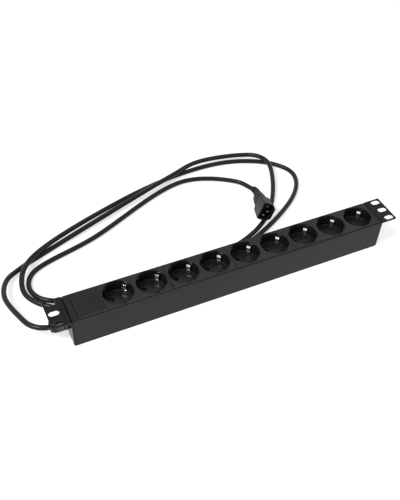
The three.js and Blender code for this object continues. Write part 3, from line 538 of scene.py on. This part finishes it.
# The boot: thick rings joined by a thinner neck, bending from the plug's axis to the lead
BOOT_ROOT_RADIUS, BOOT_TIP_RADIUS = 5.9, 4.3
BOOT_NECK = 0.6  # how much thinner the neck is
BOOT_RIB = 0.95
BOOT_RIBS = 6
RIB_START, RIB_SLOPE = 0.28, 2.6  # where in its wave a rib begins and how steeply it rises
BOOT_ENDS, END_RIB = 0.03, 0.3  # share of the length at each end with lower ribs, and their share
BOOT_COVER = 0.6  # how far the boot runs on over the lead
BOOT_LIP = 0.86  # size of the boot's last ring against the one before
BOOT_SINK = 0.75  # how deep the boot is rooted in the body
BOOT_PULL = 7  # length of the bend's handles
BOOT_STEPS = 240
BOOT_SIDES = 40


def bezier(a, b, c, d, t):
    s = 1 - t
    return a * s ** 3 + b * 3 * s * s * t + c * 3 * s * t * t + d * t ** 3


def boot_radius(t):
    """Radius of the boot at a share of its length."""
    wave = 0.5 - 0.5 * math.cos(2 * math.pi * (t * BOOT_RIBS % 1))
    rib = BOOT_RIB * min(1, max(0, (wave - RIB_START) * RIB_SLOPE))
    if t < BOOT_ENDS or t > 1 - BOOT_ENDS:
        rib *= END_RIB
    return BOOT_ROOT_RADIUS + (BOOT_TIP_RADIUS - BOOT_ROOT_RADIUS) * t - BOOT_NECK + rib


def boot_rings():
    back = PLUG_POSE @ Vector((0, 0, -PLUG_LENGTH))
    tip = lead_end / MM + lead_heading * BOOT_COVER
    handles = (back + ahead * BOOT_SINK, back - ahead * BOOT_PULL, tip + lead_heading * BOOT_PULL, tip)
    line = [bezier(*handles, k / BOOT_STEPS) for k in range(BOOT_STEPS + 1)]
    turns = [2 * math.pi * i / BOOT_SIDES for i in range(BOOT_SIDES)]
    rings = []
    side = across.copy()
    for k, q in enumerate(line):
        along = (line[min(k + 1, BOOT_STEPS)] - line[max(k - 1, 0)]).normalized()
        side = (side - along * side.dot(along)).normalized()
        other = along.cross(side)
        r = boot_radius(k / BOOT_STEPS)
        rings.append([q + (side * math.cos(t) + other * math.sin(t)) * r for t in turns])
    rings.append([tip + (p - tip) * BOOT_LIP for p in rings[-1]])
    return rings


plug_boot = add("plug_boot", loft(boot_rings()), "plug_plastic", 40, weld=False)

# Sizes of the strip, in millimetres. Heights count from the surface, the rest from the middle.
HALF_WIDTH = 241.3  # to the outer edge of an ear
TOP = 44.4  # height of the housing
EAR_HALF = 21.8  # half of an ear from front to back
EAR_CORNER = 1.5
TRAY_SHEET = 1.5
LEG = 218.4  # outer face of an end leg
EAR_BEND, FLOOR_BEND = 2.8, 2.5  # outside of the tray's bends
EDGE, BURR = 0.25, 0.12  # upper and lower edge break of an ear
SLOT_X, SLOT_PITCH = 232.55, 15.875
SLOT_LENGTH, SLOT_WIDTH = 13.2, 7.8
COVER_END = 216.6
COVER_HALF = 22.2  # to the front or back wall
COVER_SHEET = 1.2
COVER_BEND = 2.0
COVER_FOOT, FOOT_BREAK = 0.4, 0.15
WINDOW_HALF, WINDOW_GAP, WINDOW_CORNER = 20.5, 0.3, 0.25
NOTCH_INSET, NOTCH_WIDTH, NOTCH_DEPTH = 2.4, 1.5, 1.4
TAB_TOP, TAB_FOOT, TAB_HALF, TAB_CORNER = 43.4, 33.2, 5, 1.5
SCREW_Y, SCREW_Z = 14, 37
SCREW_HOLE = 1.8
GLAND_Z, GLAND_HOLE = 22.2, 7.8
BLANK_START, ROW_START = -208.3, -174.1  # left ends of the blank module and the sockets
PITCH, SEAM = 43.0, 0.3
FACE_Z = 46.0
PAST = 1  # how far a cutter runs past a face
LEG_CUT = (LEG - 2.9, LEG + 1.6)  # ends of the cutters through a leg
TAB_CUT = (COVER_END - 2.6, COVER_END + 1.4)  # ends of the cutters through a tab
SCREWS = [(s, y) for s in (-1, 1) for y in (-SCREW_Y, SCREW_Y)]
GANGS = [(0, 2), (2, 2), (4, 2), (6, 3)]  # first socket and number of sockets
row_end = ROW_START + 9 * PITCH - SEAM


def stadium(x, y, length, width, steps=14):
    s, r = (length - width) / 2, width / 2
    return arc(x + s, y, r, -90, 90, steps) + arc(x - s, y, r, 90, 270, steps)


# Base tray: ears, legs and floor from one sheet
def tray_outline():
    ear_x, ear_z = LEG - TRAY_SHEET + EAR_BEND, TOP - EAR_BEND
    floor_x = LEG - FLOOR_BEND
    under = TOP - TRAY_SHEET
    inner_ear, inner_floor = EAR_BEND - TRAY_SHEET, FLOOR_BEND - TRAY_SHEET
    left = [(BURR - HALF_WIDTH, under), (-HALF_WIDTH, under + BURR), (-HALF_WIDTH, TOP - EDGE),
            (EDGE - HALF_WIDTH, TOP)]
    o = list(left)
    o += arc(-ear_x, ear_z, EAR_BEND, 90, 0, 12)
    o += arc(-floor_x, FLOOR_BEND, inner_floor, 180, 270, 8)
    o += arc(floor_x, FLOOR_BEND, inner_floor, 270, 360, 8)
    o += arc(ear_x, ear_z, EAR_BEND, 180, 90, 12)
    o += [(-x, z) for x, z in reversed(left)]
    o += arc(ear_x, ear_z, inner_ear, 90, 180, 8)
    o += arc(floor_x, FLOOR_BEND, FLOOR_BEND, 0, -90, 12)
    o += arc(-floor_x, FLOOR_BEND, FLOOR_BEND, 270, 180, 12)
    o += arc(-ear_x, ear_z, inner_ear, 0, 90, 8)
    return o


def tray_cuts():
    """Rack slots, the room for the cover's lower edges, screw holes and the gland's hole."""
    cuts = bmesh.new()
    inside, outside = LEG_CUT
    reach = COVER_END + WINDOW_GAP
    for s in (-1, 1):
        for k in (-1, 0, 1):
            slot = stadium(s * SLOT_X, k * SLOT_PITCH, SLOT_LENGTH, SLOT_WIDTH)
            prism(slot, "Z", TOP - 2 * TRAY_SHEET, TOP + PAST, cuts)
        edge = corners(-reach, s * (COVER_HALF - TRAY_SHEET), reach, s * (COVER_HALF + PAST))
        prism(edge, "Z", -PAST, FLOOR_BEND + PAST, cuts)
    for s, y in SCREWS:
        rod(SCREW_HOLE, s * inside, s * outside, (0, y, SCREW_Z), 32, cuts)
    rod(GLAND_HOLE, -outside, -inside, (0, 0, GLAND_Z), 64, cuts)
    return cuts


tray = prism(tray_outline(), "Y", -EAR_HALF, EAR_HALF)
plan_x, plan_y = HALF_WIDTH + 0.01, EAR_HALF + 0.01
plan = rounded(corners(plan_x, plan_y, -plan_x, -plan_y), EAR_CORNER, 8)
tray = carve(tray, ("INTERSECT", prism(plan, "Z", -PAST, FACE_Z)), ("DIFFERENCE", tray_cuts()))
tray_piece = add("steel_tray", tray, "painted_steel", 24, look="tray_coat")
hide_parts("base_tray")


# Top cover: side walls and top with the module window
def cover_outline():
    inner = COVER_HALF - COVER_SHEET
    y, z = COVER_HALF - COVER_BEND, TOP - COVER_BEND
    low = COVER_FOOT + FOOT_BREAK
    o = [(COVER_HALF, low)]
    o += arc(y, z, COVER_BEND, 0, 90, 12)
    o += arc(-y, z, COVER_BEND, 90, 180, 12)
    o += [(-COVER_HALF, low), (FOOT_BREAK - COVER_HALF, COVER_FOOT), (-inner - FOOT_BREAK, COVER_FOOT),
          (-inner, low)]
    o += arc(-y, z, COVER_BEND - COVER_SHEET, 180, 90, 6)
    o += arc(y, z, COVER_BEND - COVER_SHEET, 90, 0, 6)
    o += [(inner, low), (inner + FOOT_BREAK, COVER_FOOT), (COVER_HALF - FOOT_BREAK, COVER_FOOT)]
    return o


def cover_cuts():
    """The modules' window and a notch at each upper corner."""
    x0, x1 = BLANK_START - WINDOW_GAP, row_end + WINDOW_GAP
    window = rounded(corners(x0, -WINDOW_HALF, x1, WINDOW_HALF), WINDOW_CORNER, 4)
    cuts = prism(window, "Z", TOP - 2 * COVER_SHEET, FACE_Z)
    near, far = COVER_END - NOTCH_INSET, COVER_END - NOTCH_INSET - NOTCH_WIDTH
    for s in (-1, 1):
        for f in (-1, 1):
            notch = corners(s * near, f * (COVER_HALF + PAST), s * far, f * (COVER_HALF - NOTCH_DEPTH))
            prism(notch, "Z", TOP - NOTCH_DEPTH, FACE_Z, cuts)
    return cuts


def cover_tabs():
    tabs = bmesh.new()
    for s, y in SCREWS:
        plain_tab = corners(y - TAB_HALF, TAB_TOP, y + TAB_HALF, TAB_FOOT)
        outline = rounded(plain_tab, [0, 0, TAB_CORNER, TAB_CORNER])
        prism(outline, "X", *sorted((s * COVER_END, s * (COVER_END - COVER_SHEET))), tabs)
    return tabs


def tab_holes():
    holes = bmesh.new()
    for s, y in SCREWS:
        inside, outside = TAB_CUT
        rod(SCREW_HOLE, s * inside, s * outside, (0, y, SCREW_Z), 24, holes)
    return holes


cover = carve(prism(cover_outline(), "X", -COVER_END, COVER_END), ("DIFFERENCE", cover_cuts()))
cover = carve(cover, ("UNION", cover_tabs()), ("DIFFERENCE", tab_holes()))
cover_piece = add("steel_cover", cover, "painted_steel", 24)
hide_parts("top_cover")

# Modules, in millimetres
NECK_HALF, SKIRT_HALF = 20.2, 20.7
SHOULDER_Z = 42.0  # where a module widens under the cover
SOCKETS_BOTTOM, BLANK_BOTTOM = 26.5, 26.2
FACE_EDGE = 0.55
EASE, EASE_RISE = 0.18, 0.35
WELL_R, FLOOR_Z = 19.3, 28.5
RIM_RADIUS, FLOOR_RADIUS = 0.5, 0.8
WALL_RING = 3  # from the face down to a ring of points on the recess wall
RIB_INNER, RIB_OUTER, RIB_HALF, RIB_CORNER = 17.9, 21, 3, 0.6
RIB_FOOT, RIB_DROP = 27.2, 1.5
PIN_REACH = 9.5  # from a socket's middle to a pin hole
PIN_RADIUS, PIN_LEAD_IN = 2.75, 0.5
CLIP_INNER, CLIP_OUTER, CLIP_HALF, CLIP_CORNER = 16.7, 18.9, 3.1, 0.4
HOLE_BOTTOM = 25


def module_outline(bottom):
    """Section of a module: skirt under the cover's lip, neck through its window, soft face edges."""
    half, r = NECK_HALF, FACE_EDGE
    o = [(-SKIRT_HALF, bottom), (SKIRT_HALF, bottom), (SKIRT_HALF, SHOULDER_Z), (half, SHOULDER_Z)]
    o += arc(half - r, FACE_Z - r, r, 0, 90, 5)
    o += arc(r - half, FACE_Z - r, r, 90, 180, 5)
    o += [(-half, SHOULDER_Z), (-SKIRT_HALF, SHOULDER_Z)]
    return o


def module_block(bottom, x0, x1):
    """A module without recesses. Its face is pulled in at both ends, so that the seam catches light."""
    bm = prism(module_outline(bottom), "X", x0, x1)
    for v in bm.verts:
        shift = EASE * max(0, 1 - (FACE_Z - v.co.z) / EASE_RISE)
        v.co.x += shift if v.co.x < (x0 + x1) / 2 else -shift
    return bm


def well_profile():
    top = FACE_Z + PAST
    profile = [(0, FLOOR_Z)]
    profile += arc(WELL_R - FLOOR_RADIUS, FLOOR_Z + FLOOR_RADIUS, FLOOR_RADIUS, -90, 0, 4)
    profile += [(WELL_R, FACE_Z - WALL_RING)]
    profile += arc(WELL_R + RIM_RADIUS, FACE_Z - RIM_RADIUS, RIM_RADIUS, 180, 90, 4)
    return profile + [(WELL_R + RIM_RADIUS, top), (0, top)]


def pin_profile():
    wide, top = PIN_RADIUS + PIN_LEAD_IN, FLOOR_Z + PAST
    return [(0, HOLE_BOTTOM), (PIN_RADIUS, HOLE_BOTTOM), (PIN_RADIUS, FLOOR_Z - PIN_LEAD_IN), (wide, FLOOR_Z),
            (wide, top), (0, top)]


def cut_socket(x, wells, ribs, holes):
    """Adds the cutters of one socket: its recess, the two ribs that stay, pin holes and clip slots."""
    lathe(well_profile(), (x, 0, 0), 96, bm=wells)
    rib_outline = rounded(corners(RIB_INNER, -RIB_HALF, RIB_OUTER, RIB_HALF), [RIB_CORNER, 0, 0, RIB_CORNER])
    clip_outline = rounded(corners(CLIP_INNER, -CLIP_HALF, CLIP_OUTER, CLIP_HALF), CLIP_CORNER, 3)
    for turn in (135, 315):
        put_round(prism(rib_outline, "Z", RIB_FOOT, FACE_Z - RIB_DROP), x, turn, ribs)
        a = math.radians(turn)
        middle = (x + PIN_REACH * math.cos(a), PIN_REACH * math.sin(a), 0)
        lathe(pin_profile(), middle, 40, bm=holes)
    for turn in (45, 225):
        put_round(prism(clip_outline, "Z", HOLE_BOTTOM, FLOOR_Z + PAST), x, turn, holes)


for gang, (first, count) in enumerate(GANGS, 1):
    x0 = ROW_START + first * PITCH
    body = module_block(SOCKETS_BOTTOM, x0, x0 + count * PITCH - SEAM)
    wells, ribs, holes = bmesh.new(), bmesh.new(), bmesh.new()
    for i in range(first, first + count):
        cut_socket(ROW_START + (i + 0.5) * PITCH - SEAM / 2, wells, ribs, holes)
    wells = carve(wells, ("DIFFERENCE", ribs))
    body = carve(body, ("DIFFERENCE", wells), ("DIFFERENCE", holes))
    piece = add(f"sockets_{gang}", body, "module_plastic", 28)
    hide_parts(f"socket_module_{gang}")

# Blank label module and its plate. The plate's rings: half length, half depth and height
SEAT_HALF_X, SEAT_HALF_Y, SEAT_CORNER, SEAT_FLOOR = 14.8, 17.8, 1.2, 44.85
PLATE_CORNER = 1.0
PLATE_RINGS = [(14.5, 17.5, 45.15), (14.5, 17.5, 45.95), (14.42, 17.42, 46.08), (14.25, 17.25, 46.15)]
blank_end = ROW_START - SEAM
mid = (BLANK_START + blank_end) / 2


def plate_outline(half_x, half_y, corner):
    return rounded(corners(mid - half_x, -half_y, mid + half_x, half_y), corner, 6)


seat = prism(plate_outline(SEAT_HALF_X, SEAT_HALF_Y, SEAT_CORNER), "Z", SEAT_FLOOR, FACE_Z + PAST)
body = carve(module_block(BLANK_BOTTOM, BLANK_START, blank_end), ("DIFFERENCE", seat))
blank = add("label_blank", body, "module_plastic", 28)
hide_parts("label_module")
plate = loft([[(x, y, z) for x, y in plate_outline(a, b, PLATE_CORNER)] for a, b, z in PLATE_RINGS])
plate_piece = add("label_panel", plate, "label_plastic", 28)
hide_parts("label_plate")

# Gland, in millimetres. Its profiles pair a place along X with a radius
GLAND_FLATS = 18
CORNER = GLAND_FLATS / math.sqrt(3)  # radius of the hexagon's corners
GLAND_STEPS = 120
HEX_SOFTNESS = 0.35
NUT_FOOT, NUT_DOME, NUT_TIP = -224.0, -232.0, -240.0
NUT_SKIRT = [(0, -0.9), (0.35, -0.35), (1.2, 0.2), (6.6, 0.3), (7.6, -0.25)]
DOME_LENGTH, DOME_TIP_RADIUS, DOME_STEPS = 7.6, 6.7, 14
DOME_INSET, DOME_CURVE = 0.55, 1.7
NUT_LIP = [(0.15, 6.45), (0, 6.1)]
BORE, BORE_BREAK, BORE_DEPTH = 3.75, 0.35, 6.5
FLANGE = [
    (-223.7, 9.4), (-223.55, CORNER - 0.5), (-222.9, CORNER + 0.1), (-219.6, CORNER + 0.1),
    (-218.9, CORNER - 0.5), (-218.7, 9.4),
]
THREAD_RADIUS = 7.35
OUTER_THREAD, INNER_THREAD = (-227.5, -223.75), (-218.6, -211.0)
gland_turns = [2 * math.pi * i / GLAND_STEPS for i in range(GLAND_STEPS)]


def gland_ring(x, radii):
    """A ring round the gland's axis, with a radius for each of its points."""
    start = math.pi / 6
    return [Vector((x, r * math.sin(t + start), GLAND_Z + r * math.cos(t + start)))
            for t, r in zip(gland_turns, radii)]


def round_ring(x, radius):
    return gland_ring(x, [radius] * GLAND_STEPS)


def hex_ring(x, limit):
    """A ring of the hexagon, softly cut to the limit radius."""
    radii = []
    for t in gland_turns:
        reach = GLAND_FLATS / 2 / math.cos(t % (math.pi / 3) - math.pi / 6)
        both = math.exp(-reach / HEX_SOFTNESS) + math.exp(-limit / HEX_SOFTNESS)
        radii.append(-math.log(both) * HEX_SOFTNESS)
    return gland_ring(x, radii)


def nut_profile():
    profile = [(NUT_FOOT - x, CORNER + r) for x, r in NUT_SKIRT]
    start = CORNER - DOME_INSET
    for t in (k / DOME_STEPS for k in range(1, DOME_STEPS + 1)):
        profile.append((NUT_DOME - DOME_LENGTH * t, start - (start - DOME_TIP_RADIUS) * t ** DOME_CURVE))
    return profile + [(NUT_TIP + x, r) for x, r in NUT_LIP]


nut_rings = [hex_ring(x, limit) for x, limit in nut_profile()]
nut_rings += [round_ring(NUT_TIP, BORE + BORE_BREAK), round_ring(NUT_TIP + BORE_BREAK, BORE),
              round_ring(NUT_TIP + BORE_DEPTH, BORE)]
nut = add("gland_nut", loft(nut_rings), "gland_plastic", 30, weld=False)
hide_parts("gland_dome_nut")

flange_rings = [round_ring(x, THREAD_RADIUS) for x in OUTER_THREAD]
flange_rings += [hex_ring(x, limit) for x, limit in FLANGE]
flange_rings += [round_ring(x, THREAD_RADIUS) for x in INNER_THREAD]
gland = add("gland_flange", loft(flange_rings), "gland_plastic", 30, weld=False)
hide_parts("gland_body")

# End screws, in millimetres
HEAD_FACE = LEG + 0.3  # underside of a head
HEAD_RADIUS, HEAD_BREAK, HEAD_RIM, HEAD_HEIGHT = 2.8, 0.15, 0.7, 1.9
SHANK_RADIUS, SHANK_LENGTH = 1.5, 6
CROSS_HALF_LENGTH, CROSS_HALF_WIDTH, CROSS_FLOOR = 1.6, 0.34, 1.0
CROSS_CUT = 1.5


def screw_profile():
    """Radius and place along X of a screw with a domed head."""
    profile = [(0, HEAD_FACE - SHANK_LENGTH), (SHANK_RADIUS, HEAD_FACE - SHANK_LENGTH),
               (SHANK_RADIUS, HEAD_FACE), (HEAD_RADIUS - HEAD_BREAK, HEAD_FACE),
               (HEAD_RADIUS, HEAD_FACE + HEAD_BREAK),
               (HEAD_RADIUS, HEAD_FACE + HEAD_RIM)]
    for a in (math.radians(k) for k in range(12, 90, 12)):
        rise = (HEAD_HEIGHT - HEAD_RIM) * math.sin(a)
        profile.append((HEAD_RADIUS * math.cos(a), HEAD_FACE + HEAD_RIM + rise))
    return profile + [(0, HEAD_FACE + HEAD_HEIGHT)]


def cross_bar(s, y, turn):
    """One bar of the cross recess."""
    c, d = math.cos(math.radians(turn)), math.sin(math.radians(turn))
    flat = corners(-CROSS_HALF_LENGTH, -CROSS_HALF_WIDTH, CROSS_HALF_LENGTH, CROSS_HALF_WIDTH)
    outline = [(y + u * c - w * d, SCREW_Z + u * d + w * c) for u, w in flat]
    depth = sorted((s * (HEAD_FACE + CROSS_FLOOR), s * (HEAD_FACE + CROSS_FLOOR + CROSS_CUT)))
    return prism(outline, "X", *depth)


for k, (s, y) in enumerate(SCREWS, 1):
    blank_screw = lathe([(r, s * x) for r, x in screw_profile()], (0, y, SCREW_Z), 48, "X")
    bars = [("DIFFERENCE", cross_bar(s, y, turn)) for turn in (20, 110)]
    screw = add(f"end_screw_{k}", carve(blank_screw, *bars), "zinc_steel", 30)
    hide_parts(f"cover_screw_{k}")

# Materials on the CAD nodes that stay
slots = {s["node"]: s["material_slot"] for s in frame["record"]["subparts"]}
for name, obj in frame["nodes"].items():
    obj.data.materials.clear()
    obj.data.materials.append(MATS[slots[name]])
    finish_mesh(obj, 30)

# Floor, backdrop and light, in metres
FLOOR_GREY = 0.74
FLOOR_GLOW = 0.66
WORLD_LIGHT = 0.3
FLOOR_CELLS, FLOOR_CELL = 32, 0.25
STUDIO_FLOOR_Z = -0.00005
WHITE = (1, 1, 1, 1)


def seen_rays(nodes, links):
    """1 for a ray that shows the background itself: camera, glossy and transmission rays."""
    path = nodes.new("ShaderNodeLightPath")
    total = path.outputs["Is Camera Ray"]
    for kind in ("Is Glossy Ray", "Is Transmission Ray"):
        most = nodes.new("ShaderNodeMath")
        most.operation = "MAXIMUM"
        links.new(total, most.inputs[0])
        links.new(path.outputs[kind], most.inputs[1])
        total = most.outputs[0]
    return total


def floor_material():
    """A pale matt floor that glows to white only where it is seen, so that it keeps the shadows."""
    mat = bpy.data.materials.new("white_floor")
    mat.use_nodes = True
    nodes, links = mat.node_tree.nodes, mat.node_tree.links
    nodes.clear()
    out = nodes.new("ShaderNodeOutputMaterial")
    diffuse = nodes.new("ShaderNodeBsdfDiffuse")
    diffuse.inputs[0].default_value = (*grey(FLOOR_GREY), 1)
    glow = nodes.new("ShaderNodeEmission")
    glow.inputs[0].default_value = WHITE
    strength = nodes.new("ShaderNodeMath")
    strength.operation = "MULTIPLY"
    strength.inputs[1].default_value = FLOOR_GLOW
    links.new(seen_rays(nodes, links), strength.inputs[0])
    links.new(strength.outputs[0], glow.inputs[1])
    total = nodes.new("ShaderNodeAddShader")
    links.new(diffuse.outputs[0], total.inputs[0])
    links.new(glow.outputs[0], total.inputs[1])
    links.new(total.outputs[0], out.inputs[0])
    return mat


def make_floor():
    """A flat grid, square and centred under the strip."""
    bm = bmesh.new()
    marks = [(i - FLOOR_CELLS / 2) * FLOOR_CELL for i in range(FLOOR_CELLS + 1)]
    grid = [[bm.verts.new((x, y, STUDIO_FLOOR_Z)) for y in marks] for x in marks]
    for a, b in zip(grid, grid[1:]):
        for j in range(FLOOR_CELLS):
            bm.faces.new((a[j], b[j], b[j + 1], a[j + 1]))
    mesh = bpy.data.meshes.new("studio_floor")
    bm.to_mesh(mesh)
    bm.free()
    obj = bpy.data.objects.new("studio_floor", mesh)
    scene.collection.objects.link(obj)
    mesh.materials.append(floor_material())
    return obj


def make_world():
    """A dim even light that shows as white."""
    world = bpy.data.worlds.new("studio")
    world.use_nodes = True
    nodes, links = world.node_tree.nodes, world.node_tree.links
    nodes.clear()
    out = nodes.new("ShaderNodeOutputWorld")
    mix = nodes.new("ShaderNodeMixShader")
    links.new(seen_rays(nodes, links), mix.inputs[0])
    for socket, strength in ((1, WORLD_LIGHT), (2, 1)):
        light = nodes.new("ShaderNodeBackground")
        light.inputs[0].default_value = WHITE
        light.inputs[1].default_value = strength
        links.new(light.outputs[0], mix.inputs[socket])
    links.new(mix.outputs[0], out.inputs[0])
    return world


def softbox(name, place_at, target, size, watts):
    data = bpy.data.lights.new(name, "AREA")
    data.shape = "RECTANGLE"
    data.size, data.size_y = size
    data.energy = watts
    obj = bpy.data.objects.new(name, data)
    scene.collection.objects.link(obj)
    at, to = Vector(place_at), Vector(target)
    obj.location = at
    obj.rotation_euler = (to - at).to_track_quat("-Z", "Y").to_euler()


make_floor()
scene.world = make_world()
softbox("key_light", (-1.5, -0.2, 2.1), (-0.05, 0.08, 0), (0.6, 0.6), 34)
softbox("fill_light", (0.1, -2.2, 0.3), (0, 0, 0), (1.8, 0.4), 32)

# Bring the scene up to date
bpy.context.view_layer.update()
